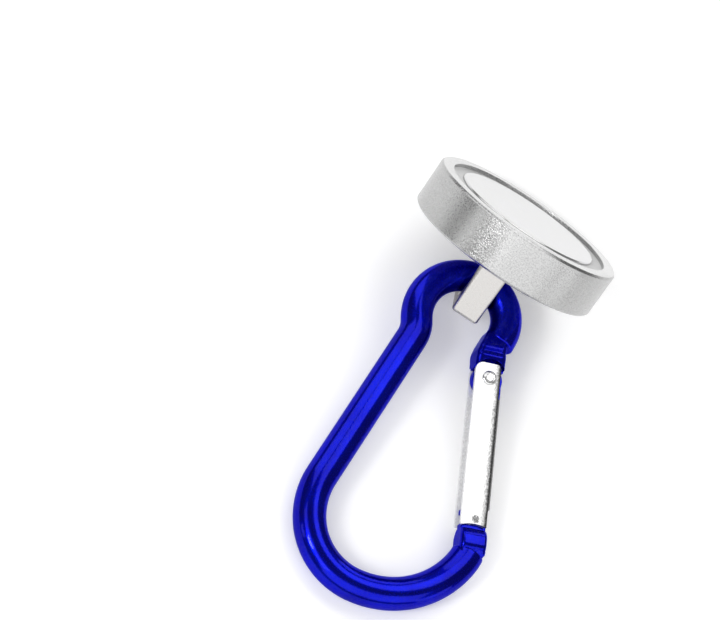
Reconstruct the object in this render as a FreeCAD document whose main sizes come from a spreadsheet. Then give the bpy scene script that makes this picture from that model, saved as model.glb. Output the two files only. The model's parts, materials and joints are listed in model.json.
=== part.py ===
import FreeCAD, Part
import math
import os

import Sketcher

# A round pot magnet with a drilled lug on its back, and the snap hook that is
# threaded through the lug. Lengths are in millimetres and angles in degrees.
#
# The part's frame stands on the floor: +Z is up, and the origin is on the floor
# under the middle of the whole object. Two local frames carry the pieces:
#   magnet frame     origin at the lug's bore, X along the bore, Z to the working face
#   hook frame       origin at the gate's rivet, X along the gate to the nose,
#                    Y outwards through the gate, Z square to the loop

DIMENSIONS = {
    # steel cup, magnet and filling
    "cup_diameter": 42.0,
    "cup_height": 9.7,
    "cup_floor": 3.2,
    "cup_wall": 2.9,
    "cup_edge": 0.45,
    "magnet_diameter": 31.2,
    "magnet_recess": 0.25,
    "magnet_edge": 0.35,
    "glue_thickness": 0.2,
    "potting_recess": 0.8,
    # lug on the back of the cup
    "lug_thickness": 5.2,
    "lug_width": 13.6,
    "lug_height": 13.75,
    "lug_edge": 0.6,
    "bore_diameter": 9.4,
    "bore_distance": 6.9,
    "bore_edge": 0.5,
    "spigot_diameter": 6.0,
    # bent rod of the hook
    "rod_diameter": 6.5,
    "rod_start_along": 7.97,
    "rod_start_across": 1.66,
    "rod_heading": 156.0,
    "bore_along": 20.90,
    "bore_across": 2.594,
    # flattened ends of the rod
    "block_thickness": 5.9,
    "block_edge": 0.6,
    "hinge_block_width": 6.2,
    "hinge_block_straight": 4.4,
    "hinge_block_inner_end": 9.4,
    "hinge_block_inner_end_width": 1.0,
    "hinge_block_outer_end": 8.3,
    "hinge_relief": 3.85,
    "nose_block_width": 5.5,
    "nose_block_start": 31.1,
    "nose_block_end": 35.6,
    "tongue_thickness": 2.3,
    "tongue_width": 6.2,
    "stop_reach": 3.85,
    "stop_inner": 1.2,
    "stop_outer": 2.95,
    "nose_tongue_start": 27.1,
    "nose_tongue_width": 5.2,
    "notch_clearance": 0.25,
    # folded gate
    "gate_back": 3.1,
    "gate_front": 30.6,
    "gate_inner_edge": 3.0,
    "gate_outer_edge": 3.0,
    "gate_thickness": 4.2,
    "gate_sheet": 0.8,
    "gate_bend": 1.2,
    "gate_corner": 1.5,
    "web_start": 4.0,
    "web_end": 26.6,
    # pins and spring
    "rivet_diameter": 2.1,
    "rivet_clearance": 0.05,
    "rivet_head": 3.0,
    "rivet_crown": 0.45,
    "latch_pin_diameter": 1.6,
    "latch_pin_place": 29.2,
    "spring_wire": 0.7,
    "spring_start": 3.15,
    # how the object lies on the floor
    "bore_x": 0.02,
    "bore_y": 22.98,
    "bore_height": 9.403,
    "magnet_turn": -12.2,
    "magnet_tilt": -44.25,
    "gate_turn": -79.4,
    "loop_slope": 5.08,
}

# The rod's centre line, from the hinge round to the nose: tangent arcs as
# (radius, turn), turning left when positive, and straight runs as (length, 0).
ROD_RUNS = (
    (1.7, 0),
    (8.39, 105.5),
    (10.3, 106.5),
    (7.1, -33.0),
    (35.0, 0),
    (15.4, 33.5),
    (13.4, 67.0),
    (19.6, 71.5),
    (10.1, 13.2),
)

# The spring's centre line, from the hinge tongue to the inside of the gate.
SPRING_RUNS = (
    (2.0, 0),
    (12.0, 20.0),
    (1.45, 0),
    (8.0, -20.0),
    (3.0, 0),
)

UP = FreeCAD.Vector(0, 0, 1)
ACROSS = FreeCAD.Vector(1, 0, 0)

document = FreeCAD.newDocument("fishing_magnet")
sheet = document.addObject("Spreadsheet::Sheet", "Dims")
for row, (alias, value) in enumerate(DIMENSIONS.items(), start=1):
    sheet.set(f"A{row}", alias)
    sheet.set(f"B{row}", str(value))
    sheet.setAlias(f"B{row}", alias)
document.recompute()


# ---------------------------------------------------------------- helpers

def size(formula):
    """The present value of a formula on the sheet's cells."""
    return float(sheet.evalExpression(formula))


def new_body(label):
    body = document.addObject("PartDesign::Body", label)
    body.Label = label
    return body


def sketch_on(body, name, role, offset="0"):
    """An empty sketch on one of the body's origin planes, moved along its normal."""
    plane = next(f for f in body.Origin.OriginFeatures if f.Role == role)
    sketch = body.newObject("Sketcher::SketchObject", name)
    sketch.AttachmentSupport = [(plane, "")]
    sketch.MapMode = "FlatFace"
    sketch.setExpression("AttachmentOffset.Base.z", offset)
    return sketch


def bind(sketch, kind, geometry, point, formula, name):
    """A distance from the sketch's origin to a point, bound to the sheet."""
    index = sketch.addConstraint(Sketcher.Constraint(kind, -1, 1, geometry, point, size(formula)))
    sketch.renameConstraint(index, name)
    sketch.setExpression(f"Constraints.{name}", formula)


def draw_circle(sketch, radius, x="0", y="0"):
    centre = FreeCAD.Vector(size(x), size(y), 0)
    circle = sketch.addGeometry(Part.Circle(centre, UP, size(radius)), False)
    index = sketch.addConstraint(Sketcher.Constraint("Radius", circle, size(radius)))
    sketch.renameConstraint(index, f"radius{circle}")
    sketch.setExpression(f"Constraints.radius{circle}", radius)
    bind(sketch, "DistanceX", circle, 3, x, f"x{circle}")
    bind(sketch, "DistanceY", circle, 3, y, f"y{circle}")


def draw_outline(sketch, corners):
    """A closed outline of straight lines whose corners are bound to the sheet."""
    points = [FreeCAD.Vector(size(x), size(y), 0) for x, y in corners]
    count = len(points)
    lines = []
    for i in range(count):
        line = Part.LineSegment(points[i], points[(i + 1) % count])
        lines.append(sketch.addGeometry(line, False))
    for i in range(count):
        following = lines[(i + 1) % count]
        sketch.addConstraint(Sketcher.Constraint("Coincident", lines[i], 2, following, 1))
    for line, (x, y) in zip(lines, corners):
        bind(sketch, "DistanceX", line, 1, x, f"x{line}")
        bind(sketch, "DistanceY", line, 1, y, f"y{line}")


def draw_box(sketch, low_x, high_x, low_y, high_y):
    corners = [(low_x, low_y), (high_x, low_y), (high_x, high_y), (low_x, high_y)]
    draw_outline(sketch, corners)


def pad(body, sketch, length, symmetric=False, reverse=False):
    feature = body.newObject("PartDesign::Pad", f"{sketch.Name}_pad")
    feature.Profile = sketch
    feature.SideType = "Symmetric" if symmetric else "One side"
    feature.Reversed = reverse
    feature.setExpression("Length", length)
    document.recompute()
    return feature


def pocket(body, sketch, length, symmetric=False, reverse=False):
    """A pocket that has to take material away."""
    before = body.Shape.Volume
    feature = body.newObject("PartDesign::Pocket", f"{sketch.Name}_pocket")
    feature.Profile = sketch
    feature.SideType = "Symmetric" if symmetric else "One side"
    feature.Reversed = reverse
    feature.setExpression("Length", length)
    document.recompute()
    if body.Shape.Volume >= before:
        raise RuntimeError(f"{feature.Label} cuts nothing")
    return feature


def edges_where(shape, test):
    return [f"Edge{i}" for i, edge in enumerate(shape.Edges, start=1) if test(edge)]


def dress(body, kind, name, test, size_formula):
    """A fillet or chamfer on the edges of the body that pass the test."""
    base = body.Tip
    names = edges_where(base.Shape, test)
    feature = body.newObject(f"PartDesign::{kind}", name)
    feature.Base = (base, names)
    feature.setExpression("Radius" if kind == "Fillet" else "Size", size_formula)
    document.recompute()
    return feature


def is_curve(edge, kind):
    """Tells an edge's kind of curve; the point edge at a ball's pole has none."""
    try:
        return isinstance(edge.Curve, kind)
    except TypeError:
        return False


def round_edge(edge, radius):
    """True for a circular edge of the given radius."""
    return is_curve(edge, Part.Circle) and abs(edge.Curve.Radius - radius) < 0.01


def parallel_to(edge, axis):
    """True for a straight edge that runs along the given axis."""
    return is_curve(edge, Part.Line) and abs(abs(edge.Curve.Direction.dot(axis)) - 1) < 1e-6


def tangent_chain(x, y, heading, runs):
    """Lines and arcs that follow each other without a corner."""
    geometry = []
    angle = math.radians(heading)
    for reach, turn in runs:
        start = FreeCAD.Vector(x, y, 0)
        if turn == 0:
            end = start + FreeCAD.Vector(math.cos(angle), math.sin(angle), 0) * reach
            geometry.append(Part.LineSegment(start, end))
        else:
            side = math.copysign(1, turn)
            centre = start + FreeCAD.Vector(-math.sin(angle), math.cos(angle), 0) * reach * side
            spoke = start - centre
            middle = centre + spoke_turned(spoke, turn / 2)
            end = centre + spoke_turned(spoke, turn)
            geometry.append(Part.Arc(start, middle, end))
            angle += math.radians(turn)
        x, y = end.x, end.y
    return geometry


def spoke_turned(spoke, degrees):
    return FreeCAD.Rotation(UP, degrees).multVec(spoke)


def cylinder(name, radius, height, x="0", y="0", z="0", axis=UP):
    solid = document.addObject("Part::Cylinder", name)
    solid.setExpression("Radius", radius)
    solid.setExpression("Height", height)
    solid.Placement.Rotation = FreeCAD.Rotation(UP, axis)
    for key, formula in (("x", x), ("y", y), ("z", z)):
        solid.setExpression(f"Placement.Base.{key}", formula)
    return solid


# ---------------------------------------------------------------- magnet

CUP_BACK = "Dims.bore_distance"
CUP_FACE = "Dims.bore_distance + Dims.cup_height"
CAVITY_RADIUS = "Dims.cup_diameter / 2 - Dims.cup_wall"


def make_steel_cup():
    """Turned cup: a disc with a flat cavity and a hole for the lug's spigot."""
    body = new_body("steel_cup")
    disc = sketch_on(body, "cup_disc", "XY_Plane", CUP_BACK)
    draw_circle(disc, "Dims.cup_diameter / 2")
    pad(body, disc, "Dims.cup_height")
    rim = size("Dims.cup_diameter / 2")
    dress(body, "Chamfer", "cup_edges", lambda e: round_edge(e, rim), "Dims.cup_edge")
    cavity = sketch_on(body, "cup_cavity", "XY_Plane", CUP_FACE)
    draw_circle(cavity, CAVITY_RADIUS)
    pocket(body, cavity, "Dims.cup_height - Dims.cup_floor")
    hole = sketch_on(body, "spigot_hole", "XY_Plane", CUP_FACE)
    draw_circle(hole, "Dims.spigot_diameter / 2")
    pocket(body, hole, "Dims.cup_height")
    return body


def make_magnet_disc():
    """Plated disc magnet, a little below the cup's rim."""
    body = new_body("magnet_disc")
    seat = "Dims.bore_distance + Dims.cup_floor + Dims.glue_thickness"
    disc = sketch_on(body, "magnet_round", "XY_Plane", seat)
    draw_circle(disc, "Dims.magnet_diameter / 2")
    depth = "Dims.cup_height - Dims.cup_floor - Dims.glue_thickness - Dims.magnet_recess"
    pad(body, disc, depth)
    radius = size("Dims.magnet_diameter / 2")
    dress(body, "Fillet", "magnet_edges", lambda e: round_edge(e, radius), "Dims.magnet_edge")
    return body


def make_glue_film():
    """Adhesive between the magnet and the cup's floor."""
    film = cylinder(
        "glue_film",
        "Dims.magnet_diameter / 2",
        "Dims.glue_thickness",
        z="Dims.bore_distance + Dims.cup_floor",
    )
    return film


def make_potting_ring():
    """Cast resin that fills the gap between the magnet and the cup's wall."""
    depth = "Dims.cup_height - Dims.cup_floor - Dims.potting_recess"
    base = "Dims.bore_distance + Dims.cup_floor"
    outside = cylinder("potting_outside", CAVITY_RADIUS, depth, z=base)
    inside = cylinder("potting_inside", "Dims.magnet_diameter / 2", depth, z=base)
    ring = document.addObject("Part::Cut", "potting_ring")
    ring.Base = outside
    ring.Tool = inside
    return ring


def make_eye_lug():
    """Square lug with a cross bore, and a spigot that is riveted into the cup."""
    body = new_body("eye_lug")
    block = sketch_on(body, "lug_block", "YZ_Plane")
    draw_box(
        block,
        "-Dims.lug_width / 2",
        "Dims.lug_width / 2",
        "Dims.bore_distance - Dims.lug_height",
        "Dims.bore_distance",
    )
    pad(body, block, "Dims.lug_thickness", symmetric=True)
    top = size(CUP_BACK)

    def free_edge(edge):
        return not all(abs(v.Z - top) < 0.01 for v in edge.Vertexes)

    dress(body, "Fillet", "lug_edges", free_edge, "Dims.lug_edge")
    bore = sketch_on(body, "lug_bore", "YZ_Plane")
    draw_circle(bore, "Dims.bore_diameter / 2")
    pocket(body, bore, "Dims.lug_thickness * 2", symmetric=True)
    radius = size("Dims.bore_diameter / 2")
    dress(body, "Chamfer", "bore_edges", lambda e: round_edge(e, radius), "Dims.bore_edge")
    spigot = sketch_on(body, "lug_spigot", "XY_Plane", CUP_BACK)
    draw_circle(spigot, "Dims.spigot_diameter / 2")
    pad(body, spigot, "Dims.cup_floor")
    return body


# ---------------------------------------------------------------- hook

def make_carabiner_frame():
    """Bent rod with a flattened tongue at the hinge and a hooked one at the nose."""
    body = new_body("carabiner_frame")
    add_hinge_block(body)
    path = sketch_on(body, "rod_path", "XY_Plane")
    start_x = -size("Dims.rod_start_along")
    start_y = size("Dims.rod_start_across")
    heading = size("Dims.rod_heading")
    for piece in tangent_chain(start_x, start_y, heading, ROD_RUNS):
        path.addGeometry(piece, False)
    section = sketch_on(body, "rod_section", "YZ_Plane", "-Dims.rod_start_along")
    section.AttachmentOffset = FreeCAD.Placement(
        FreeCAD.Vector(start_y, 0, start_x),
        FreeCAD.Rotation(FreeCAD.Vector(0, 1, 0), heading),
    )
    draw_circle(section, "Dims.rod_diameter / 2")
    document.recompute()
    rod = body.newObject("PartDesign::AdditivePipe", "rod")
    rod.Profile = section
    rod.Spine = path
    rod.Transition = "Transformed"
    document.recompute()
    add_hinge_tongue(body)
    add_nose_end(body)
    return body


def round_block(body, name, side, width):
    """Rounds the long edges of the block at the hinge (side -1) or nose (side 1)."""
    half = size(f"{width} / 2")

    def long_edge(edge):
        corner = edge.Vertexes[0]
        at_block = corner.X * side > 0 and abs(corner.Y) > half - 0.01
        return at_block and parallel_to(edge, ACROSS)

    dress(body, "Fillet", name, long_edge, "Dims.block_edge")


def add_hinge_block(body):
    """Pressed block at the hinge; its inner side runs into the rod's."""
    block = sketch_on(body, "hinge_block", "XY_Plane")
    draw_outline(
        block,
        [
            ("-Dims.hinge_relief / 2", "-Dims.hinge_block_width / 2"),
            ("-Dims.hinge_relief / 2", "Dims.hinge_block_width / 2"),
            ("-Dims.hinge_block_outer_end", "Dims.hinge_block_width / 2"),
            ("-Dims.hinge_block_inner_end", "-Dims.hinge_block_inner_end_width"),
            ("-Dims.hinge_block_straight", "-Dims.hinge_block_width / 2"),
        ],
    )
    pad(body, block, "Dims.block_thickness", symmetric=True)
    document.recompute()
    round_block(body, "hinge_block_edges", -1, "Dims.hinge_block_width")


def add_hinge_tongue(body):
    """Round tongue between the gate's flats, with the arm that stops the gate."""
    for side, role_sign in (("upper", 1), ("lower", -1)):
        offset = f"{role_sign} * Dims.tongue_thickness / 2"
        relief = sketch_on(body, f"{side}_relief", "XY_Plane", offset)
        draw_circle(relief, "Dims.hinge_relief")
        pocket(body, relief, "Dims.rod_diameter", reverse=role_sign > 0)
    tongue = sketch_on(body, "hinge_tongue", "XY_Plane")
    draw_circle(tongue, "Dims.tongue_width / 2")
    pad(body, tongue, "Dims.tongue_thickness", symmetric=True)
    stop = sketch_on(body, "gate_stop", "XY_Plane")
    draw_outline(
        stop,
        [
            ("-1", "0"),
            ("Dims.stop_reach", "Dims.stop_inner"),
            ("Dims.stop_reach", "Dims.stop_outer"),
            ("-1", "Dims.tongue_width / 2"),
        ],
    )
    pad(body, stop, "Dims.tongue_thickness", symmetric=True)
    hole = sketch_on(body, "rivet_hole", "XY_Plane")
    draw_circle(hole, "Dims.rivet_diameter / 2 + Dims.rivet_clearance")
    pocket(body, hole, "Dims.rod_diameter", symmetric=True)


def add_nose_end(body):
    block = sketch_on(body, "nose_block", "XY_Plane")
    draw_box(
        block,
        "Dims.nose_block_start",
        "Dims.nose_block_end",
        "-Dims.nose_block_width / 2",
        "Dims.nose_block_width / 2",
    )
    pad(body, block, "Dims.block_thickness", symmetric=True)
    round_block(body, "nose_block_edges", 1, "Dims.nose_block_width")
    tongue = sketch_on(body, "nose_tongue", "XY_Plane")
    draw_box(
        tongue,
        "Dims.nose_tongue_start",
        "Dims.nose_block_start + 1",
        "-Dims.nose_tongue_width / 2",
        "Dims.nose_tongue_width / 2",
    )
    pad(body, tongue, "Dims.tongue_thickness", symmetric=True)
    radius = "Dims.latch_pin_diameter / 2 + Dims.notch_clearance"
    notch = sketch_on(body, "latch_notch", "XY_Plane")
    draw_circle(notch, radius, "Dims.latch_pin_place")
    pocket(body, notch, "Dims.rod_diameter", symmetric=True)
    mouth = sketch_on(body, "latch_mouth", "XY_Plane")
    draw_box(
        mouth,
        f"Dims.latch_pin_place - ({radius})",
        f"Dims.latch_pin_place + {radius}",
        "-Dims.nose_tongue_width",
        "0",
    )
    pocket(body, mouth, "Dims.rod_diameter", symmetric=True)


def make_gate():
    """Channel folded from sheet: two flats joined by a web along the outer side."""
    body = new_body("gate")
    channel = sketch_on(body, "gate_channel", "YZ_Plane", "-Dims.gate_back")
    draw_box(
        channel,
        "-Dims.gate_inner_edge",
        "Dims.gate_outer_edge",
        "-Dims.gate_thickness / 2",
        "Dims.gate_thickness / 2",
    )
    pad(body, channel, "Dims.gate_back + Dims.gate_front")
    outer = size("Dims.gate_outer_edge")

    def bend_edge(edge):
        return parallel_to(edge, ACROSS) and edge.Vertexes[0].Y > outer - 0.01

    def hinge_corner(edge):
        return parallel_to(edge, UP) and edge.Vertexes[0].X < 0

    dress(body, "Fillet", "gate_bends", bend_edge, "Dims.gate_bend")
    hollow = sketch_on(body, "gate_hollow", "YZ_Plane", "-Dims.gate_back - 1")
    draw_box(
        hollow,
        "-Dims.gate_inner_edge - 1",
        "Dims.gate_outer_edge - Dims.gate_sheet",
        "-Dims.gate_thickness / 2 + Dims.gate_sheet",
        "Dims.gate_thickness / 2 - Dims.gate_sheet",
    )
    pocket(body, hollow, "Dims.gate_back + Dims.gate_front + 2", reverse=True)
    window = sketch_on(body, "gate_windows", "XZ_Plane", "-Dims.gate_outer_edge - 1")
    flats = "Dims.gate_thickness / 2 - Dims.gate_sheet"
    draw_box(window, "-Dims.gate_back - 1", "Dims.web_start", f"-({flats})", flats)
    draw_box(window, "Dims.web_end", "Dims.gate_front + 1", f"-({flats})", flats)
    pocket(body, window, "Dims.gate_outer_edge + 1", reverse=True)
    dress(body, "Fillet", "hinge_corners", hinge_corner, "Dims.gate_corner")
    cropped = sketch_on(body, "cropped_corner", "XY_Plane")
    draw_outline(
        cropped,
        [
            ("-Dims.gate_back - 1", "Dims.gate_outer_edge - Dims.gate_corner - 1"),
            ("-Dims.gate_back + Dims.gate_corner + 1", "Dims.gate_outer_edge + 1"),
            ("-Dims.gate_back - 1", "Dims.gate_outer_edge + 1"),
        ],
    )
    pocket(body, cropped, "Dims.gate_thickness * 2", symmetric=True)
    holes = sketch_on(body, "gate_holes", "XY_Plane")
    draw_circle(holes, "Dims.rivet_diameter / 2")
    draw_circle(holes, "Dims.latch_pin_diameter / 2", "Dims.latch_pin_place")
    pocket(body, holes, "Dims.gate_thickness * 2", symmetric=True)
    return body


def make_hinge_rivet():
    """Rivet through both flats and the tongue, with a crowned head on each side."""
    shank = cylinder(
        "rivet_shank",
        "Dims.rivet_diameter / 2",
        "Dims.gate_thickness",
        z="-Dims.gate_thickness / 2",
    )
    crown = "(Dims.rivet_head ^ 2 / 4 + Dims.rivet_crown ^ 2) / (2 * Dims.rivet_crown)"
    heads = []
    for side, sign in (("upper", 1), ("lower", -1)):
        seat = f"{sign} * Dims.gate_thickness / 2"
        start = seat if sign > 0 else f"{seat} - Dims.rivet_crown"
        blank = cylinder(f"{side}_head_blank", "Dims.rivet_head / 2", "Dims.rivet_crown", z=start)
        ball = document.addObject("Part::Sphere", f"{side}_head_ball")
        ball.setExpression("Radius", crown)
        centre = f"{seat} + {sign} * (Dims.rivet_crown - {crown})"
        ball.setExpression("Placement.Base.z", centre)
        head = document.addObject("Part::Common", f"{side}_head")
        head.Base = blank
        head.Tool = ball
        heads.append(head)
    rivet = document.addObject("Part::MultiFuse", "hinge_rivet")
    rivet.Shapes = [shank, *heads]
    return rivet


def make_latch_pin():
    """Flush pin across the gate that the nose hooks round."""
    return cylinder(
        "latch_pin",
        "Dims.latch_pin_diameter / 2",
        "Dims.gate_thickness",
        x="Dims.latch_pin_place",
        z="-Dims.gate_thickness / 2",
    )


def make_gate_spring():
    """Bent wire that lies in the gate's channel and pushes it shut."""
    body = new_body("gate_spring")
    path = sketch_on(body, "spring_path", "XY_Plane")
    for piece in tangent_chain(size("Dims.spring_start"), 0, 0, SPRING_RUNS):
        path.addGeometry(piece, False)
    section = sketch_on(body, "spring_section", "YZ_Plane", "Dims.spring_start")
    draw_circle(section, "Dims.spring_wire / 2")
    document.recompute()
    wire = body.newObject("PartDesign::AdditivePipe", "spring_wire")
    wire.Profile = section
    wire.Spine = path
    document.recompute()
    return body


# ---------------------------------------------------------------- placing

def magnet_placement():
    """From the magnet's frame to the floor's."""
    place = FreeCAD.Vector(size("Dims.bore_x"), size("Dims.bore_y"), size("Dims.bore_height"))
    turn = FreeCAD.Rotation(UP, size("Dims.magnet_turn"))
    tilt = FreeCAD.Rotation(ACROSS, size("Dims.magnet_tilt"))
    return FreeCAD.Placement(place, turn * tilt)


def hook_placement():
    """From the hook's frame to the floor's, with the bore's middle in common."""
    place = FreeCAD.Vector(size("Dims.bore_x"), size("Dims.bore_y"), size("Dims.bore_height"))
    slope = FreeCAD.Rotation(ACROSS, size("Dims.loop_slope"))
    turn = FreeCAD.Rotation(UP, size("Dims.gate_turn"))
    bore = FreeCAD.Vector(-size("Dims.bore_along"), -size("Dims.bore_across"), 0)
    rotation = slope * turn
    return FreeCAD.Placement(place - rotation.multVec(bore), rotation)


def place_piece(piece, placement):
    """Moves a finished piece as a whole, on top of where it was drawn."""
    for key in ("x", "y", "z"):
        piece.setExpression(f"Placement.Base.{key}", None)
    piece.Placement = placement * piece.Placement


def main():
    magnet_pieces = [
        make_steel_cup(),
        make_magnet_disc(),
        make_glue_film(),
        make_potting_ring(),
        make_eye_lug(),
    ]
    hook_pieces = [
        make_carabiner_frame(),
        make_gate(),
        make_hinge_rivet(),
        make_latch_pin(),
        make_gate_spring(),
    ]
    document.recompute()
    for piece in magnet_pieces:
        place_piece(piece, magnet_placement())
    for piece in hook_pieces:
        place_piece(piece, hook_placement())
    document.recompute()

    for item in document.Objects:
        if "Invalid" in item.State or "Error" in item.State:
            raise RuntimeError(f"{item.Label} failed: {item.State}")
    os.makedirs("parts", exist_ok=True)
    for piece in magnet_pieces + hook_pieces:
        if piece.Shape.isNull() or not piece.Shape.isValid():
            raise RuntimeError(f"{piece.Label} has no valid shape")
        piece.Shape.exportStep(f"parts/{piece.Label}.step")
        print(piece.Label, round(piece.Shape.Volume, 1), len(piece.Shape.Solids))
    box = FreeCAD.BoundBox()
    for piece in magnet_pieces + hook_pieces:
        box.add(piece.Shape.optimalBoundingBox())
    print("box", [round(v, 3) for v in (box.XMin, box.XMax, box.YMin, box.YMax, box.ZMin, box.ZMax)])


main()
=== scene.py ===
import json
import math

import bmesh
import bpy
from mathutils import Matrix, Vector


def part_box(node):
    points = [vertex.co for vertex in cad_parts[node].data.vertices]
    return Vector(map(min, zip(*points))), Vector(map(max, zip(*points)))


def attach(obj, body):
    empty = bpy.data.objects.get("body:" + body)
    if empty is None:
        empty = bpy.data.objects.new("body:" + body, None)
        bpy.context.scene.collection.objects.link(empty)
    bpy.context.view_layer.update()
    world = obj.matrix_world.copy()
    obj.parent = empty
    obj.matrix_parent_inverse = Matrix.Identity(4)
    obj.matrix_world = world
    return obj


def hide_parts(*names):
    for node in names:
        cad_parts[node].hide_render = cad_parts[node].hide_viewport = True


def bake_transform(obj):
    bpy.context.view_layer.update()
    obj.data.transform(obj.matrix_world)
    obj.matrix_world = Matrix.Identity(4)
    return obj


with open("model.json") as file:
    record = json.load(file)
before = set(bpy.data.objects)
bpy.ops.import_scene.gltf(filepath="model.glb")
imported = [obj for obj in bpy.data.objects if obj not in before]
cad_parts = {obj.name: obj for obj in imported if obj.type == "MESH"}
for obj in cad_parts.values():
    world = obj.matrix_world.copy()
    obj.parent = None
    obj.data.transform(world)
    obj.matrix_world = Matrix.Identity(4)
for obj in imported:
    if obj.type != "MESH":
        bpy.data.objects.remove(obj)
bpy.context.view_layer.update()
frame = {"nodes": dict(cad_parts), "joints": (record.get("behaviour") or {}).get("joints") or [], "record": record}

# Lengths in this file are in millimetres until a piece is put in its place.
MM = 0.001

# How far the cup's and rod's round faces are kept inside the CAD part's.
SKIN = 0.03

# The rod's centre line from hinge to nose, as in the CAD part: (radius, turn in degrees), or (length, 0).
ROD_START = (-7.97, 1.66)
ROD_HEADING = 156.0
ROD_RUNS = (
    (1.7, 0),
    (8.39, 105.5),
    (10.3, 106.5),
    (7.1, -33.0),
    (35.0, 0),
    (15.4, 33.5),
    (13.4, 67.0),
    (19.6, 71.5),
    (10.1, 13.2),
)
SPRING_RUNS = (
    (2.0, 0),
    (12.0, 20.0),
    (1.45, 0),
    (8.0, -20.0),
    (3.0, 0),
)

CAMERA_FROM_BORE = Vector((-90.23, -205.93, 340.13))
CAMERA_TURN = (24.40, -18.94, 15.92)
CAMERA_LENS = 100.0


# ---------------------------------------------------------------- frames

def axis_frame(origin, x_axis, z_axis):
    """The matrix from a local frame in millimetres to the part's frame in metres."""
    z = z_axis.normalized()
    x = (x_axis - z * x_axis.dot(z)).normalized()
    turn = Matrix((x, z.cross(x), z)).transposed().to_4x4()
    return Matrix.Translation(origin) @ turn @ Matrix.Scale(MM, 4)


def span(node, matrix):
    """Lowest and highest corner of a CAD node in a local frame."""
    back = matrix.inverted()
    points = [back @ vertex.co for vertex in frame["nodes"][node].data.vertices]
    low = Vector([min(p[i] for p in points) for i in range(3)])
    high = Vector([max(p[i] for p in points) for i in range(3)])
    return low, high


joints = {joint["name"]: joint for joint in frame["joints"]}
mounts = {mount["name"]: mount for mount in frame["record"]["mounts"]}
bore_place = Vector(joints["carabiner_swing"]["pos_m"])
rivet_place = Vector(joints["gate_hinge"]["pos_m"])
loop_normal = -Vector(joints["gate_hinge"]["axis"])
pin_low, pin_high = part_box("latch_pin")

# Magnet frame: origin in the lug's bore, X along it, Z to the working face.
magnet_frame = axis_frame(
    bore_place,
    Vector(joints["carabiner_swing"]["axis"]),
    Vector(mounts["working_face"]["axis"]),
)
# Hook frame: origin at the gate's rivet, X along the gate, Y outwards, Z square to the loop.
hook_frame = axis_frame(rivet_place, (pin_low + pin_high) / 2 - rivet_place, loop_normal)

cup_low, cup_high = span("steel_cup", magnet_frame)
disc_low, disc_high = span("magnet_disc", magnet_frame)
ring_low, ring_high = span("potting_ring", magnet_frame)
lug_low, lug_high = span("eye_lug", magnet_frame)
_, hook_high = span("carabiner_frame", hook_frame)
gate_low, gate_high = span("gate", hook_frame)
_, head_high = span("hinge_rivet", hook_frame)
latch_low, latch_high = span("latch_pin", hook_frame)
PIN_PLACE = (latch_low.x + latch_high.x) / 2
PIN_RADIUS = latch_high.y
CUP_RADIUS = cup_high.y - SKIN
CUP_BACK = cup_low.z
CUP_FACE = cup_high.z
ROD_RADIUS = hook_high.z - SKIN


# ---------------------------------------------------------------- modelling helpers

def only(piece):
    bpy.ops.object.select_all(action="DESELECT")
    piece.select_set(True)
    bpy.context.view_layer.objects.active = piece


def edit(piece):
    only(piece)
    bpy.ops.object.mode_set(mode="EDIT")


def leave_edit():
    bpy.ops.object.mode_set(mode="OBJECT")


def pick(piece, kind, test):
    """Selects the vertices, edges or faces of the piece being edited that pass the test."""
    bpy.ops.mesh.select_mode(type=kind)
    bpy.ops.mesh.select_all(action="DESELECT")
    mesh = bmesh.from_edit_mesh(piece.data)
    elements = {"VERT": mesh.verts, "EDGE": mesh.edges, "FACE": mesh.faces}[kind]
    for element in elements:
        if test(element):
            element.select_set(True)
    mesh.select_flush_mode()
    bmesh.update_edit_mesh(piece.data)


def middle(edge):
    return (edge.verts[0].co + edge.verts[1].co) / 2


def new_cylinder(radius, low, high, x=0, y=0, sides=128):
    bpy.ops.object.select_all(action="DESELECT")
    bpy.ops.mesh.primitive_cylinder_add(
        vertices=sides, radius=radius, depth=high - low, location=(x, y, (low + high) / 2)
    )
    piece = bpy.context.object
    bpy.ops.object.transform_apply(location=True, rotation=True, scale=True)
    return piece


def new_box(low, high):
    bpy.ops.object.select_all(action="DESELECT")
    low = Vector(low)
    high = Vector(high)
    bpy.ops.mesh.primitive_cube_add(size=1, location=(low + high) / 2)
    piece = bpy.context.object
    piece.scale = high - low
    bpy.ops.object.transform_apply(location=True, rotation=True, scale=True)
    return piece


def bevel(piece, width, segments=3, angle=40):
    """Softens every edge that is sharper than the angle."""
    only(piece)
    modifier = piece.modifiers.new("soft_edges", "BEVEL")
    modifier.width = width
    modifier.segments = segments
    modifier.limit_method = "ANGLE"
    modifier.angle_limit = math.radians(angle)
    modifier.harden_normals = False
    bpy.ops.object.modifier_apply(modifier=modifier.name)


def combine(piece, tool, operation):
    """Joins the tool's solid to the piece, or cuts it out."""
    only(piece)
    modifier = piece.modifiers.new("combine", "BOOLEAN")
    modifier.operation = operation
    modifier.object = tool
    modifier.solver = "EXACT"
    bpy.ops.object.modifier_apply(modifier=modifier.name)
    bpy.data.objects.remove(tool)


def close_ends(piece):
    """Fills the open ends of a tube or loft and turns its faces outwards."""
    edit(piece)
    bpy.ops.mesh.select_mode(type="EDGE")
    bpy.ops.mesh.select_all(action="DESELECT")
    bpy.ops.mesh.select_non_manifold()
    bpy.ops.mesh.edge_face_add()
    bpy.ops.mesh.select_all(action="SELECT")
    bpy.ops.mesh.normals_make_consistent(inside=False)
    leave_edit()


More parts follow.
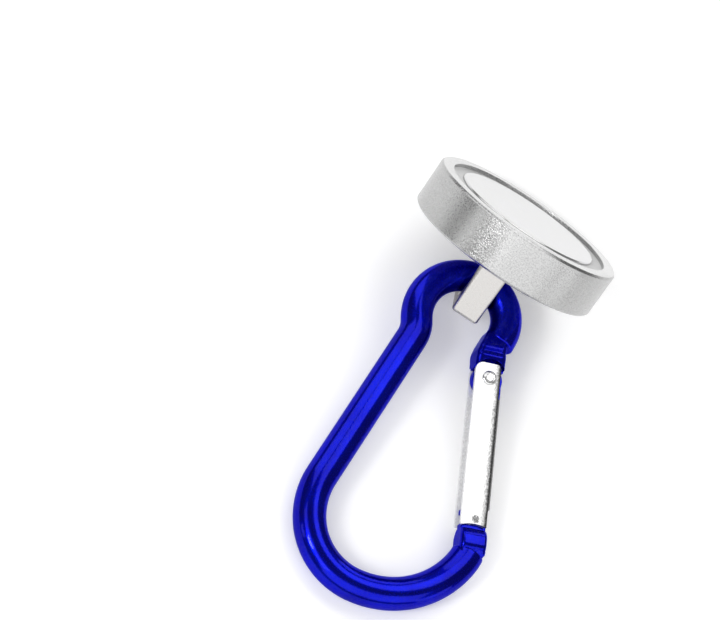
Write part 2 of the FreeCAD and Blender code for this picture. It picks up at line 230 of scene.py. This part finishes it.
def bent_tube(start, heading, runs, radius, sides, step):
    """A round bar bent in its own plane: each run is spun about its centre or drawn straight."""
    bpy.ops.object.select_all(action="DESELECT")
    bpy.ops.mesh.primitive_circle_add(
        vertices=sides,
        radius=radius,
        location=(start[0], start[1], 0),
        rotation=(math.pi / 2, 0, math.radians(heading) + math.pi / 2),
    )
    piece = bpy.context.object
    bpy.ops.object.transform_apply(location=True, rotation=True, scale=True)
    edit(piece)
    bpy.ops.mesh.select_all(action="SELECT")
    place = Vector((start[0], start[1], 0))
    angle = math.radians(heading)
    for reach, turn in runs:
        along = Vector((math.cos(angle), math.sin(angle), 0))
        if turn == 0:
            pieces = max(1, round(reach / (2 * step)))
            for _ in range(pieces):
                bpy.ops.mesh.extrude_region_move(
                    TRANSFORM_OT_translate={"value": along * reach / pieces}
                )
            place = place + along * reach
            continue
        radians = math.radians(turn)
        side = math.copysign(1, turn)
        centre = place + Vector((-along.y, along.x, 0)) * reach * side
        bpy.ops.mesh.spin(
            steps=max(3, round(reach * abs(radians) / step)),
            angle=-radians,
            center=centre,
            axis=(0, 0, 1),
        )
        place = centre + Matrix.Rotation(radians, 3, "Z") @ (place - centre)
        angle += radians
    leave_edit()
    close_ends(piece)
    return piece


def loft(rings, corner):
    """A bar of rounded-rectangle section along X. Each ring is (x, low y, high y, half thickness)."""
    x, low_y, high_y, half_z = rings[0]
    half_y = (high_y - low_y) / 2
    centre_y = (high_y + low_y) / 2
    bpy.ops.object.select_all(action="DESELECT")
    bpy.ops.mesh.primitive_plane_add(
        size=2, location=(x, centre_y, 0), rotation=(0, math.pi / 2, 0)
    )
    piece = bpy.context.object
    piece.scale = (half_z, half_y, 1)
    bpy.ops.object.transform_apply(location=True, rotation=True, scale=True)
    edit(piece)
    bpy.ops.mesh.select_all(action="SELECT")
    bpy.ops.mesh.bevel(affect="VERTICES", offset=corner, segments=6)
    for next_x, next_low, next_high, next_z in rings[1:]:
        next_half = (next_high - next_low) / 2
        next_centre = (next_high + next_low) / 2
        step = (next_x - x, next_centre - centre_y, 0)
        bpy.ops.mesh.extrude_region_move(TRANSFORM_OT_translate={"value": step})
        bpy.ops.transform.resize(
            value=(1, next_half / half_y, next_z / half_z),
            center_override=(next_x, next_centre, 0),
        )
        x, half_y, centre_y, half_z = next_x, next_half, next_centre, next_z
    leave_edit()
    close_ends(piece)
    return piece


def finish_piece(piece, name, matrix, body, material, smooth=38):
    """Puts a modelled piece in its place and says what it stands for."""
    only(piece)
    piece.name = name
    piece.data.name = name
    piece.matrix_world = matrix
    bpy.ops.object.transform_apply(location=True, rotation=True, scale=True)
    bpy.ops.object.shade_smooth_by_angle(angle=math.radians(smooth))
    even = piece.modifiers.new("even_shading", "WEIGHTED_NORMAL")
    even.keep_sharp = True
    bpy.ops.object.modifier_apply(modifier=even.name)
    piece.data.materials.clear()
    piece.data.materials.append(material)
    if body:
        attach(piece, body)
    return piece


# ---------------------------------------------------------------- material helpers

class Surface:
    """A node material with its pattern coordinates in a piece's own frame, in millimetres."""

    def __init__(self, name, matrix):
        self.material = bpy.data.materials.new(name)
        self.material.use_nodes = True
        self.tree = self.material.node_tree
        self.shader = self.tree.nodes["Principled BSDF"]
        back = matrix.inverted()
        coordinates = self.node("ShaderNodeTexCoord")
        mapping = self.node("ShaderNodeMapping", Vector=coordinates.outputs["Object"])
        mapping.inputs["Location"].default_value = back.to_translation()
        mapping.inputs["Rotation"].default_value = back.to_euler()
        mapping.inputs["Scale"].default_value = (1 / MM, 1 / MM, 1 / MM)
        self.place = mapping.outputs["Vector"]

    def node(self, kind, settings=None, **inputs):
        made = self.tree.nodes.new(kind)
        for key, value in (settings or {}).items():
            setattr(made, key, value)
        for key, value in inputs.items():
            socket = made.inputs[key.replace("_", " ")]
            self.feed(socket, value)
        return made

    def feed(self, socket, value):
        if isinstance(value, bpy.types.NodeSocket):
            self.tree.links.new(value, socket)
        else:
            socket.default_value = value

    def math(self, operation, first, second=0.0):
        made = self.node("ShaderNodeMath", {"operation": operation})
        self.feed(made.inputs[0], first)
        self.feed(made.inputs[1], second)
        return made.outputs[0]

    def split(self):
        made = self.node("ShaderNodeSeparateXYZ", Vector=self.place)
        return made.outputs

    def stretched(self, x, y, z):
        """The pattern coordinates, stretched so that a noise becomes streaks."""
        made = self.node("ShaderNodeVectorMath", {"operation": "MULTIPLY"})
        self.feed(made.inputs[0], self.place)
        made.inputs[1].default_value = (x, y, z)
        return made.outputs[0]

    def noise(self, vector, scale, detail=3.0, roughness=0.55):
        made = self.node(
            "ShaderNodeTexNoise", Vector=vector, Scale=scale, Detail=detail, Roughness=roughness
        )
        return made.outputs["Fac"]

    def ramp(self, factor, low, high, from_low=0.35, from_high=0.65):
        """Maps the useful middle of a noise to the range asked for."""
        made = self.node("ShaderNodeMapRange", Value=factor)
        made.inputs["From Min"].default_value = from_low
        made.inputs["From Max"].default_value = from_high
        made.inputs["To Min"].default_value = low
        made.inputs["To Max"].default_value = high
        return made.outputs["Result"]

    def mix_colour(self, factor, first, second):
        made = self.node("ShaderNodeMix", {"data_type": "RGBA"})
        self.feed(made.inputs["Factor"], factor)
        self.feed(made.inputs[6], first)
        self.feed(made.inputs[7], second)
        return made.outputs[2]

    def bump(self, height, strength, distance=0.02, normal=None):
        made = self.node("ShaderNodeBump", Height=height, Strength=strength)
        made.inputs["Distance"].default_value = distance * MM
        if normal is not None:
            self.feed(made.inputs["Normal"], normal)
        return made.outputs["Normal"]

    def set(self, **inputs):
        for key, value in inputs.items():
            self.feed(self.shader.inputs[key.replace("_", " ")], value)
        return self.material


def grey(value, alpha=1.0):
    return (value, value, value, alpha)


# ---------------------------------------------------------------- materials

def turned_steel():
    """Nickel over turned steel: rings of tool marks, a fine grain, faint handling marks, and a painted highlight
    that makes the working face lighter than the side.
    """
    s = Surface("turned_steel", magnet_frame)
    x, y, z = s.split()
    radius = s.math("SQRT", s.math("ADD", s.math("MULTIPLY", x, x), s.math("MULTIPLY", y, y)))
    lathe = s.node("ShaderNodeCombineXYZ", X=radius, Y=z).outputs[0]
    marks = s.noise(lathe, 5.0, 4.0, 0.7)
    grain = s.noise(s.place, 3.2, 4.0, 0.6)
    smudge = s.noise(s.place, 0.09, 2.0, 0.5)
    tone = s.math("ADD", s.ramp(smudge, -0.05, 0.05), s.ramp(grain, -0.22, 0.22))
    # Painted highlight: the working face is painted much lighter than the side wall, in place of the brighter lamp
    # light it reflects.
    painted_face_light = s.math("GREATER_THAN", z, CUP_FACE - 0.1)
    tone = s.math("ADD", tone, s.math("MULTIPLY", painted_face_light, 0.8))
    colour = s.mix_colour(s.math("ADD", tone, 0.45), grey(0.28), grey(0.62))
    rough = s.math("ADD", s.ramp(grain, 0.2, 0.3), s.ramp(smudge, -0.03, 0.04))
    rings = s.bump(marks, 0.25, 0.03)
    normal = s.bump(grain, 0.45, 0.06, rings)
    return s.set(Base_Color=colour, Metallic=1.0, Roughness=rough, Normal=normal)


def plated_magnet():
    """Bright nickel plate over a ground disc."""
    s = Surface("plated_magnet", magnet_frame)
    cloud = s.noise(s.place, 0.25, 3.0)
    fine = s.noise(s.place, 6.0, 3.0)
    colour = s.mix_colour(s.ramp(cloud, 0.0, 1.0), grey(0.6), (0.68, 0.68, 0.69, 1))
    normal = s.bump(fine, 0.12, 0.02)
    return s.set(
        Base_Color=colour, Metallic=1.0, Roughness=s.ramp(cloud, 0.16, 0.26), Normal=normal
    )


def cast_resin():
    """Pale potting resin with a shrunken, slightly wavy top."""
    s = Surface("cast_resin", magnet_frame)
    wave = s.noise(s.place, 0.5, 2.0)
    speck = s.noise(s.place, 5.0, 2.0)
    colour = s.mix_colour(s.ramp(speck, 0.0, 1.0), grey(0.55), grey(0.68))
    return s.set(
        Base_Color=colour, Roughness=s.ramp(wave, 0.3, 0.45), Normal=s.bump(wave, 0.5, 0.2)
    )


def milled_steel():
    """Lug steel: lines of the cutter along the drilled faces, a satin skin elsewhere."""
    s = Surface("milled_steel", magnet_frame)
    lines = s.noise(s.stretched(0.25, 0.04, 1.0), 3.0, 4.0, 0.7)
    grain = s.noise(s.place, 3.0, 4.0, 0.6)
    x, _, _ = s.split()
    drilled = s.math("GREATER_THAN", s.math("ABSOLUTE", x), lug_high.x - 0.15)
    darker = s.math("MULTIPLY", drilled, s.ramp(lines, -0.5, -0.1))
    tone = s.math("ADD", darker, s.ramp(grain, 0.5, 0.58))
    colour = s.mix_colour(tone, (0.24, 0.215, 0.19, 1), grey(0.7))
    depth = s.math("ADD", s.math("MULTIPLY", drilled, 0.5), 0.08)
    milled = s.node("ShaderNodeBump", Height=lines, Strength=depth)
    milled.inputs["Distance"].default_value = 0.12 * MM
    normal = s.bump(grain, 0.25, 0.05, milled.outputs["Normal"])
    rough = s.math("ADD", s.math("MULTIPLY", drilled, 0.12), s.ramp(grain, 0.26, 0.36))
    return s.set(Base_Color=colour, Metallic=1.0, Roughness=rough, Normal=normal)


def blue_anodised():
    """Dyed anodising over a tumbled rod: deep blue metal under a hard clear skin."""
    s = Surface("blue_anodised", hook_frame)
    cloud = s.noise(s.place, 0.12, 2.0)
    ripple = s.noise(s.place, 0.55, 2.0)
    grain = s.noise(s.place, 4.0, 3.0, 0.6)
    colour = s.mix_colour(s.ramp(cloud, 0.0, 1.0), (0.0, 0.001, 0.34, 1), (0.0, 0.005, 0.48, 1))
    waves = s.bump(ripple, 0.18, 0.12)
    normal = s.bump(grain, 0.1, 0.02, waves)
    return s.set(
        Base_Color=colour,
        Metallic=1.0,
        Roughness=s.ramp(grain, 0.2, 0.28),
        Specular_Tint=(0.05, 0.1, 0.75, 1),
        Coat_Weight=0.15,
        Coat_Roughness=0.04,
        Coat_IOR=1.6,
        Normal=normal,
    )


def bright_sheet():
    """Tumbled aluminium sheet: bright and pebbled, with a painted dark reflection along the roll, and painted
    light inside, where it is pale and mostly non-metallic.
    """
    s = Surface("bright_sheet", hook_frame)
    pebble = s.noise(s.stretched(0.6, 1.0, 1.0), 3.4, 4.0, 0.65)
    cloud = s.noise(s.place, 0.3, 2.0)
    colour = s.mix_colour(s.ramp(pebble, 0.0, 1.0), grey(0.66), grey(0.82))
    rough = s.math("ADD", s.ramp(pebble, 0.2, 0.32), s.ramp(cloud, -0.03, 0.03))
    _, y, z = s.split()
    # Painted reflection: a ragged band along the roll is painted nearly black, in place of the dark surroundings
    # it reflects.
    ragged = s.math("ADD", y, s.ramp(pebble, -0.35, 0.35))
    painted_dark_roll = s.ramp(ragged, 0.0, 0.9, 0.9, 1.9)
    colour = s.mix_colour(painted_dark_roll, colour, grey(0.1))
    # Painted light: inside the channel, where it lies in shade, the sheet is painted pale and made mostly
    # non-metallic so that it reads as lit.
    inside = s.math("LESS_THAN", s.math("ABSOLUTE", z), gate_high.z - 0.7)
    painted_light_inside = s.math("MULTIPLY", inside, s.math("LESS_THAN", y, 2.4))
    colour = s.mix_colour(painted_light_inside, colour, grey(0.85))
    metal = s.math("SUBTRACT", 1.0, s.math("MULTIPLY", painted_light_inside, 0.85))
    return s.set(
        Base_Color=colour, Metallic=metal, Roughness=rough, Normal=s.bump(pebble, 0.45, 0.06)
    )


def rivet_metal():
    """Peened rivet: bright, with the punch's small facets."""
    s = Surface("rivet_metal", hook_frame)
    facets = s.noise(s.place, 1.6, 2.0)
    fine = s.noise(s.place, 7.0, 3.0)
    colour = s.mix_colour(s.ramp(fine, 0.0, 1.0), grey(0.7), grey(0.85))
    waves = s.bump(facets, 0.5, 0.15)
    return s.set(
        Base_Color=colour,
        Metallic=1.0,
        Roughness=s.ramp(fine, 0.2, 0.3),
        Normal=s.bump(fine, 0.2, 0.03, waves),
    )


def drawn_wire():
    """Spring wire: grey steel with draw lines."""
    s = Surface("drawn_wire", hook_frame)
    lines = s.noise(s.stretched(0.1, 1.0, 1.0), 8.0, 3.0)
    colour = s.mix_colour(s.ramp(lines, 0.0, 1.0), grey(0.3), grey(0.5))
    return s.set(
        Base_Color=colour, Metallic=1.0, Roughness=s.ramp(lines, 0.25, 0.4), Normal=s.bump(lines, 0.3)
    )


def cured_glue():
    """Thin film of cured adhesive."""
    s = Surface("cured_glue", magnet_frame)
    blot = s.noise(s.place, 0.6, 3.0)
    colour = s.mix_colour(s.ramp(blot, 0.0, 1.0), (0.4, 0.36, 0.27, 1), (0.6, 0.56, 0.46, 1))
    return s.set(Base_Color=colour, Roughness=s.ramp(blot, 0.4, 0.6), Normal=s.bump(blot, 0.3, 0.1))


# ---------------------------------------------------------------- magnet pieces

def make_cup(material):
    """Turned cup: a disc, a cavity sunk in its face, and a small flat chamfer on each rim."""
    cavity_radius = ring_high.y
    outer_chamfer = 0.45
    inner_chamfer = 0.15
    cup = new_cylinder(CUP_RADIUS, CUP_BACK, CUP_FACE, sides=192)
    edit(cup)
    pick(cup, "FACE", lambda face: face.normal.z > 0.9)
    bpy.ops.mesh.inset(thickness=CUP_RADIUS - cavity_radius)
    bpy.ops.mesh.extrude_region_move(
        TRANSFORM_OT_translate={"value": (0, 0, ring_low.z - CUP_FACE)}
    )
    pick(cup, "EDGE", lambda edge: is_rim(edge, CUP_RADIUS))
    bpy.ops.mesh.bevel(offset=outer_chamfer, segments=1, affect="EDGES")
    pick(cup, "EDGE", lambda edge: is_rim(edge, cavity_radius) and middle(edge).z > CUP_FACE - 0.1)
    bpy.ops.mesh.bevel(offset=inner_chamfer, segments=2, affect="EDGES")
    leave_edit()
    bevel(cup, 0.05, 2, 30)
    finish_piece(cup, "turned_cup", magnet_frame, "magnet", material, 25)
    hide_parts("steel_cup")


def is_rim(edge, radius):
    """True for an edge of a circle of this radius about Z, lying flat."""
    first, second = (vertex.co for vertex in edge.verts)
    flat = abs(first.z - second.z) < 1e-4
    return flat and all(abs(math.hypot(p.x, p.y) - radius) < 0.02 for p in (first, second))


def make_magnet(material):
    """Plated disc with a rounded edge."""
    disc = new_cylinder(disc_high.y - 0.02, disc_low.z, disc_high.z, sides=160)
    bevel(disc, 0.4, 4, 60)
    finish_piece(disc, "plated_disc", magnet_frame, "magnet", material)
    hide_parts("magnet_disc")


def make_potting(material):
    """Resin ring whose top has sunk between the magnet and the wall."""
    inner = disc_high.y
    outer = ring_high.y
    ring = new_cylinder(outer, ring_low.z, ring_high.z, sides=160)
    edit(ring)
    pick(ring, "FACE", lambda face: face.normal.z > 0.9)
    shares = 5
    width = (outer - inner) / shares
    for i in range(shares):
        bpy.ops.mesh.inset(thickness=width)
        across = (i + 1) / shares
        sag = 4 * 0.25 * across * (1 - across)
        height = ring_high.z - sag
        mesh = bmesh.from_edit_mesh(ring.data)
        now = next(face for face in mesh.faces if face.select).verts[0].co.z
        bpy.ops.transform.translate(value=(0, 0, height - now))
    bpy.ops.mesh.extrude_region_move(
        TRANSFORM_OT_translate={"value": (0, 0, ring_low.z - ring_high.z)}
    )
    bpy.ops.mesh.delete(type="FACE")
    pick(ring, "FACE", lambda face: face.normal.z < -0.9)
    bpy.ops.mesh.delete(type="FACE")
    bpy.ops.mesh.select_mode(type="EDGE")
    bpy.ops.mesh.select_non_manifold()
    bpy.ops.mesh.bridge_edge_loops()
    bpy.ops.mesh.select_all(action="SELECT")
    bpy.ops.mesh.normals_make_consistent(inside=False)
    leave_edit()
    finish_piece(ring, "resin_ring", magnet_frame, "magnet", material)
    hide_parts("potting_ring")


def make_lug(material):
    """Square lug: rounded edges, a cross bore and a countersink on each side of it."""
    into_cup = 0.3
    edge = 0.62
    radius = 4.7
    sink = 0.55
    lug = new_box(lug_low, (lug_high.x, lug_high.y, CUP_BACK + into_cup))
    bevel(lug, edge, 4, 60)
    half = lug_high.x
    drill = new_cylinder(radius, -half - 1, half + 1, sides=96)
    drill.rotation_euler = (0, math.pi / 2, 0)
    only(drill)
    bpy.ops.object.transform_apply(location=True, rotation=True, scale=True)
    combine(lug, drill, "DIFFERENCE")
    for side in (-1, 1):
        bpy.ops.object.select_all(action="DESELECT")
        bpy.ops.mesh.primitive_cone_add(
            vertices=96,
            radius1=radius + sink * 2,
            radius2=radius,
            depth=sink * 2,
            location=(side * half, 0, 0),
            rotation=(0, -side * math.pi / 2, 0),
        )
        sinker = bpy.context.object
        bpy.ops.object.transform_apply(location=True, rotation=True, scale=True)
        combine(lug, sinker, "DIFFERENCE")
    finish_piece(lug, "drilled_lug", magnet_frame, "magnet", material, 30)
    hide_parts("eye_lug")


# ---------------------------------------------------------------- hook pieces

def make_hook(material):
    """Bent rod with its pressed, ridged ends and the two tongues."""
    rod = bent_tube(ROD_START, ROD_HEADING, ROD_RUNS, ROD_RADIUS, 64, 0.75)
    bevel(rod, 0.9, 5, 60)
    tongue_half = 1.15
    tongue_radius = 3.1
    relief = 3.85
    corner = 0.8
    hinge_block = loft(
        [
            (-9.9, -1.2, 2.6, 2.3),
            (-9.0, -1.6, 2.8, 2.6),
            (-8.0, -2.05, 3.0, 2.8),
            (-7.2, -2.4, 3.1, 2.9),
            (-6.7, -2.6, 3.1, 2.95),
            (-6.0, -2.85, 3.1, 2.95),
            (-5.6, -3.0, 3.05, 2.8),
            (-5.2, -3.08, 3.1, 2.83),
            (-4.7, -3.1, 3.1, 2.95),
            (-4.2, -3.1, 3.1, 2.92),
            (-3.7, -3.1, 3.1, 2.7),
            (-1.9, -3.1, 3.1, 2.6),
        ],
        corner,
    )
    for low, high in ((tongue_half, 5), (-5, -tongue_half)):
        combine(hinge_block, new_cylinder(relief, low, high, sides=96), "DIFFERENCE")
    tongue = new_cylinder(tongue_radius, -tongue_half, tongue_half, sides=96)
    bevel(tongue, 0.2, 3, 60)
    stop = new_box((-1, 0.4, -tongue_half), (relief, 2.95, tongue_half))
    edit(stop)
    pick(stop, "VERT", lambda vertex: vertex.co.x > 3 and vertex.co.y < 1)
    bpy.ops.transform.translate(value=(0, 0.8, 0))
    leave_edit()
    bevel(stop, 0.2, 3, 60)
    nose_block = loft(
        [
            (31.1, -2.6, 2.6, 1.9),
            (31.5, -2.65, 2.7, 2.25),
            (32.2, -2.7, 2.75, 2.75),
            (32.8, -2.75, 2.75, 2.95),
            (34.2, -2.75, 2.75, 2.95),
            (34.7, -2.75, 2.75, 2.9),
            (35.1, -2.75, 2.7, 2.7),
            (35.5, -2.75, 2.7, 2.8),
            (36.0, -2.75, 2.6, 2.9),
            (36.6, -2.75, 2.2, 2.5),
        ],
        corner,
    )
    nose_tongue = new_box((27.1, -2.6, -tongue_half), (32, 2.6, tongue_half))
    bevel(nose_tongue, 0.25, 3, 60)
    for part in (hinge_block, tongue, stop, nose_block, nose_tongue):
        combine(rod, part, "UNION")
    notch_clearance = 0.25
    notch_radius = PIN_RADIUS + notch_clearance
    combine(rod, new_cylinder(notch_radius, -2, 2, x=PIN_PLACE, sides=48), "DIFFERENCE")
    mouth = new_box((PIN_PLACE - notch_radius, -4, -2), (PIN_PLACE + notch_radius, 0, 2))
    combine(rod, mouth, "DIFFERENCE")
    finish_piece(rod, "anodised_rod", hook_frame, "hook", material, 35)
    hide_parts("carabiner_frame")


def make_gate(material):
    """Folded channel: bent from one strip, its web cut back at both ends."""
    sheet = 0.8
    roll = 1.25
    seam = 0.15
    web_start = 4.0
    web_end = 26.6
    cut_y = 2.4
    inner = gate_high.z - sheet
    channel = new_box(gate_low, gate_high)
    edit(channel)

    def roll_line(edge):
        return middle(edge).y > gate_high.y - 0.01 and abs(edge_run(edge).x) > 1

    pick(channel, "EDGE", roll_line)
    bpy.ops.mesh.bevel(offset=roll, segments=8, affect="EDGES")
    pick(channel, "FACE", lambda face: face.normal.y < -0.9 or abs(face.normal.x) > 0.9)
    bpy.ops.mesh.delete(type="FACE")
    for cut_x in (web_start, web_end):
        bpy.ops.mesh.select_all(action="SELECT")
        bpy.ops.mesh.bisect(plane_co=(cut_x, 0, 0), plane_no=(1, 0, 0))
    for cut_z in (-inner + seam, inner - seam):
        bpy.ops.mesh.select_all(action="SELECT")
        bpy.ops.mesh.bisect(plane_co=(0, 0, cut_z), plane_no=(0, 0, 1))
    bpy.ops.mesh.select_all(action="SELECT")
    bpy.ops.mesh.bisect(plane_co=(0, cut_y, 0), plane_no=(0, 1, 0))

    def cut_away(face):
        place = face.calc_center_median()
        outside = place.x < web_start or place.x > web_end
        between_flats = abs(place.z) < inner - seam and place.y > 0
        return outside and (between_flats or place.y > cut_y)

    pick(channel, "FACE", cut_away)
    bpy.ops.mesh.delete(type="FACE")
    corners = {gate_low.x: 1.6, gate_high.x: 0.5}
    for end_x, radius in corners.items():
        pick(
            channel,
            "VERT",
            lambda vertex: abs(vertex.co.x - end_x) < 0.01 and vertex.co.y < gate_low.y + 0.01,
        )
        bpy.ops.mesh.bevel(offset=radius, segments=6, affect="VERTICES")
    leave_edit()
    only(channel)
    wall = channel.modifiers.new("sheet", "SOLIDIFY")
    wall.thickness = sheet
    wall.offset = -1
    wall.use_even_offset = True
    bpy.ops.object.modifier_apply(modifier=wall.name)
    hollow = 8.0
    dip = 0.45
    end_cutter = new_cylinder(hollow, -5, 5, x=gate_high.x - dip + hollow, sides=256)
    combine(channel, end_cutter, "DIFFERENCE")
    bevel(channel, 0.26, 4, 50)
    finish_piece(channel, "folded_gate", hook_frame, "gate", material, 35)
    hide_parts("gate")


def edge_run(edge):
    return edge.verts[1].co - edge.verts[0].co


def make_rivet(material):
    """Rivet with a crowned, peened head on each side of the gate."""
    radius = head_high.x
    seat = gate_high.z
    shank_radius = 1.05
    shank = new_cylinder(shank_radius, -seat, seat, sides=48)
    for side in (-1, 1):
        head = new_cylinder(radius, seat - 0.05, head_high.z, sides=64)
        edit(head)
        pick(head, "EDGE", lambda edge: is_rim(edge, radius) and middle(edge).z > seat)
        bpy.ops.mesh.bevel(offset=0.4, segments=6, affect="EDGES")
        pick(head, "FACE", lambda face: face.normal.z > 0.95)
        bpy.ops.mesh.inset(thickness=0.35)
        bpy.ops.mesh.extrude_region_move(TRANSFORM_OT_translate={"value": (0, 0, -0.12)})
        bpy.ops.transform.resize(value=(0.8, 0.8, 1))
        leave_edit()
        if side < 0:
            head.rotation_euler = (math.pi, 0, 0)
            only(head)
            bpy.ops.object.transform_apply(location=True, rotation=True, scale=True)
        combine(shank, head, "UNION")
    finish_piece(shank, "peened_rivet", hook_frame, "gate", material, 35)
    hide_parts("hinge_rivet")


def make_spring(material):
    """Bent wire from the hinge tongue to the inside of the gate's web."""
    start = (3.15, 0)
    wire_radius = 0.35
    wire = bent_tube(start, 0, SPRING_RUNS, wire_radius, 16, 0.4)
    finish_piece(wire, "spring_wire", hook_frame, None, material, 60)
    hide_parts("gate_spring")
    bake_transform(wire)


# ---------------------------------------------------------------- stage, lights and camera

def make_stage():
    bpy.ops.object.select_all(action="DESELECT")
    bpy.ops.mesh.primitive_plane_add(size=6, location=(0, 0, 0))
    floor = bpy.context.object
    floor.name = "floor"
    paper = bpy.data.materials.new("white_paper")
    paper.use_nodes = True
    shader = paper.node_tree.nodes["Principled BSDF"]
    shader.inputs["Base Color"].default_value = grey(0.95)
    shader.inputs["Roughness"].default_value = 0.7
    shader.inputs["Emission Color"].default_value = grey(1)
    shader.inputs["Emission Strength"].default_value = 0.17
    floor.data.materials.append(paper)


def softbox(name, around, above, width, height, radiance):
    """A soft lamp one metre away, at a compass angle from +X and a height angle, both in degrees."""
    turn = math.radians(around)
    rise = math.radians(above)
    toward = Vector((math.cos(turn) * math.cos(rise), math.sin(turn) * math.cos(rise), math.sin(rise)))
    light = bpy.data.lights.new(name, "AREA")
    light.shape = "RECTANGLE"
    light.size = width
    light.size_y = height
    light.energy = radiance * math.pi * width * height
    lamp = bpy.data.objects.new(name, light)
    bpy.context.scene.collection.objects.link(lamp)
    lamp.location = toward
    lamp.rotation_euler = toward.to_track_quat("Z", "Y").to_euler()


def make_lights():
    softbox("lamp_front_left", -145, 49, 0.9, 0.36, 1.5)
    softbox("lamp_low_left", -157, 15, 0.2, 0.3, 1.7)
    softbox("lamp_front_right", -78, 36, 1.5, 0.8, 1.4)
    softbox("lamp_low_front", -30, 10, 0.4, 0.3, 1.4)
    softbox("lamp_back_right", 66, 64, 0.75, 0.5, 2.0)
    softbox("lamp_low_right", 80, 28, 0.7, 0.4, 1.7)
    softbox("lamp_back_left", 135, 40, 0.5, 0.8, 1.6)
    softbox("spark_left", -143, 42, 0.18, 0.22, 18.0)


def make_world():
    world = bpy.data.worlds.new("studio")
    bpy.context.scene.world = world
    world.use_nodes = True
    background = world.node_tree.nodes["Background"]
    background.inputs["Color"].default_value = grey(0.25)
    background.inputs["Strength"].default_value = 1.0


def make_camera():
    camera = bpy.data.objects.new("camera", bpy.data.cameras.new("camera"))
    bpy.context.scene.collection.objects.link(camera)
    camera.data.lens = CAMERA_LENS
    camera.data.sensor_width = 36.0
    camera.data.clip_start = 0.01
    camera.location = bore_place + CAMERA_FROM_BORE * MM
    camera.rotation_euler = [math.radians(angle) for angle in CAMERA_TURN]
    bpy.context.scene.camera = camera


# ---------------------------------------------------------------- build

make_camera()
make_world()
make_stage()
make_lights()

make_cup(turned_steel())
make_magnet(plated_magnet())
make_potting(cast_resin())
make_lug(milled_steel())
make_hook(blue_anodised())
make_gate(bright_sheet())
peened = rivet_metal()
make_rivet(peened)
make_spring(drawn_wire())
frame["nodes"]["latch_pin"].data.materials.clear()
frame["nodes"]["latch_pin"].data.materials.append(peened)
frame["nodes"]["glue_film"].data.materials.clear()
frame["nodes"]["glue_film"].data.materials.append(cured_glue())

bpy.context.scene.view_settings.view_transform = "Standard"
